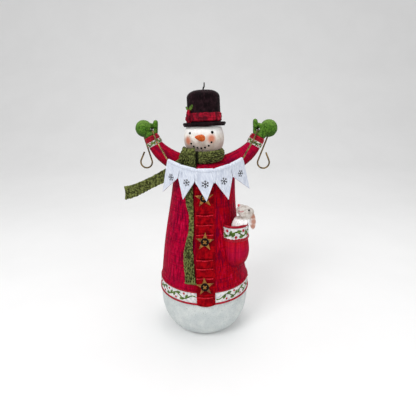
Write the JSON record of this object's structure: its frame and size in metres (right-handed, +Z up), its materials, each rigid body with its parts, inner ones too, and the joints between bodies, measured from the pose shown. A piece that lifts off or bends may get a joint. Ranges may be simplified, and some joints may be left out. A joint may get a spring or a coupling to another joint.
{
  "type": "standing snowman figure",
  "caption": "Standing winter figure in a long red coat and top hat, arms raised to hold a rocking wire bunting, with a knit scarf, star buttons and a bunny in its pocket.",
  "frame": {"origin": "centre of the flat underside of the snow base", "axes": "+Z up through the hat, the face looks along -Y, +X towards the figure's pocket side"},
  "size_m": [0.1552, 0.1007, 0.257],
  "materials": {
    "snow_paint": "white painted wood with a fine sparkling snow texture",
    "coat_paint": "red painted, carved grain, satin",
    "coat_trim": "dark red painted piping, satin",
    "holly_trim": "cream painted band with a green vine and red berries",
    "mitten_paint": "green painted, fine knit texture",
    "face_paint": "off-white painted, satin",
    "nose_paint": "orange painted",
    "black_bead": "glossy black bead",
    "hat_paint": "black-brown painted felt look",
    "hat_ribbon": "woven crimson ribbon",
    "holly_paint": "green painted",
    "berry_paint": "glossy red",
    "knit": "open knitted olive yarn",
    "rusty_tin": "rusty gold painted tin",
    "button_black": "glossy black",
    "gold_thread": "twisted gold thread",
    "brass_wire": "antique, darkened",
    "dark_wire": "blackened steel wire",
    "white_tin": "white painted tin",
    "bare_wood": "bare dowel, inside",
    "bunny_paint": "off-white painted, textured fur",
    "pink_paint": "pink painted"
  },
  "bodies": {
    "figure": {"snow_base": "snow_paint", "coat": "coat_paint", "front_placket": "coat_paint", "left_sleeve": "coat_paint", "right_sleeve": "coat_paint", "pocket_pouch": "coat_paint", "hem_piping_upper": "coat_trim", "hem_piping_lower": "coat_trim", "left_cuff_piping": "coat_trim", "right_cuff_piping": "coat_trim", "pocket_rim": "coat_trim", "pocket_seam": "coat_trim", "hem_band": "holly_trim", "left_cuff": "holly_trim", "right_cuff": "holly_trim", "pocket_band": "holly_trim", "left_mitten": "mitten_paint", "right_mitten": "mitten_paint", "head": "face_paint", "nose": "nose_paint", "eye_beads": "black_bead", "mouth_beads": "black_bead", "hat_crown": "hat_paint", "hat_brim": "hat_paint", "hat_band": "hat_ribbon", "hat_band_knot": "hat_ribbon", "holly_leaves": "holly_paint", "holly_berries": "berry_paint", "scarf_wrap": "knit", "scarf_fold": "knit", "scarf_front_tail": "knit", "scarf_side_tail": "knit", "star_1": "rusty_tin", "star_2": "rusty_tin", "star_3": "rusty_tin", "button_1": "button_black", "button_2": "button_black", "button_3": "button_black", "button_threads": "gold_thread", "star_pins": "brass_wire", "hanging_eye": "dark_wire", "left_arm_dowel": "bare_wood", "right_arm_dowel": "bare_wood", "neck_dowel": "bare_wood", "hat_dowel": "bare_wood", "bunny_body": "bunny_paint", "bunny_head": "bunny_paint", "bunny_ear_near": "bunny_paint", "bunny_ear_far": "bunny_paint", "bunny_nose": "pink_paint", "bunny_eyes": "black_bead"},
    "banner": {"banner_wire": "brass_wire", "pennant_1": "white_tin", "pennant_2": "white_tin", "pennant_3": "white_tin", "pennant_4": "white_tin", "pennant_5": "white_tin"}
  },
  "joints": [
    {"name": "banner_swing", "type": "hinge", "parent": "figure", "child": "banner", "pos_m": [0, 0, 0.2058], "axis": [-1, 0, 0], "range_deg": [0, 12]}
  ]
}
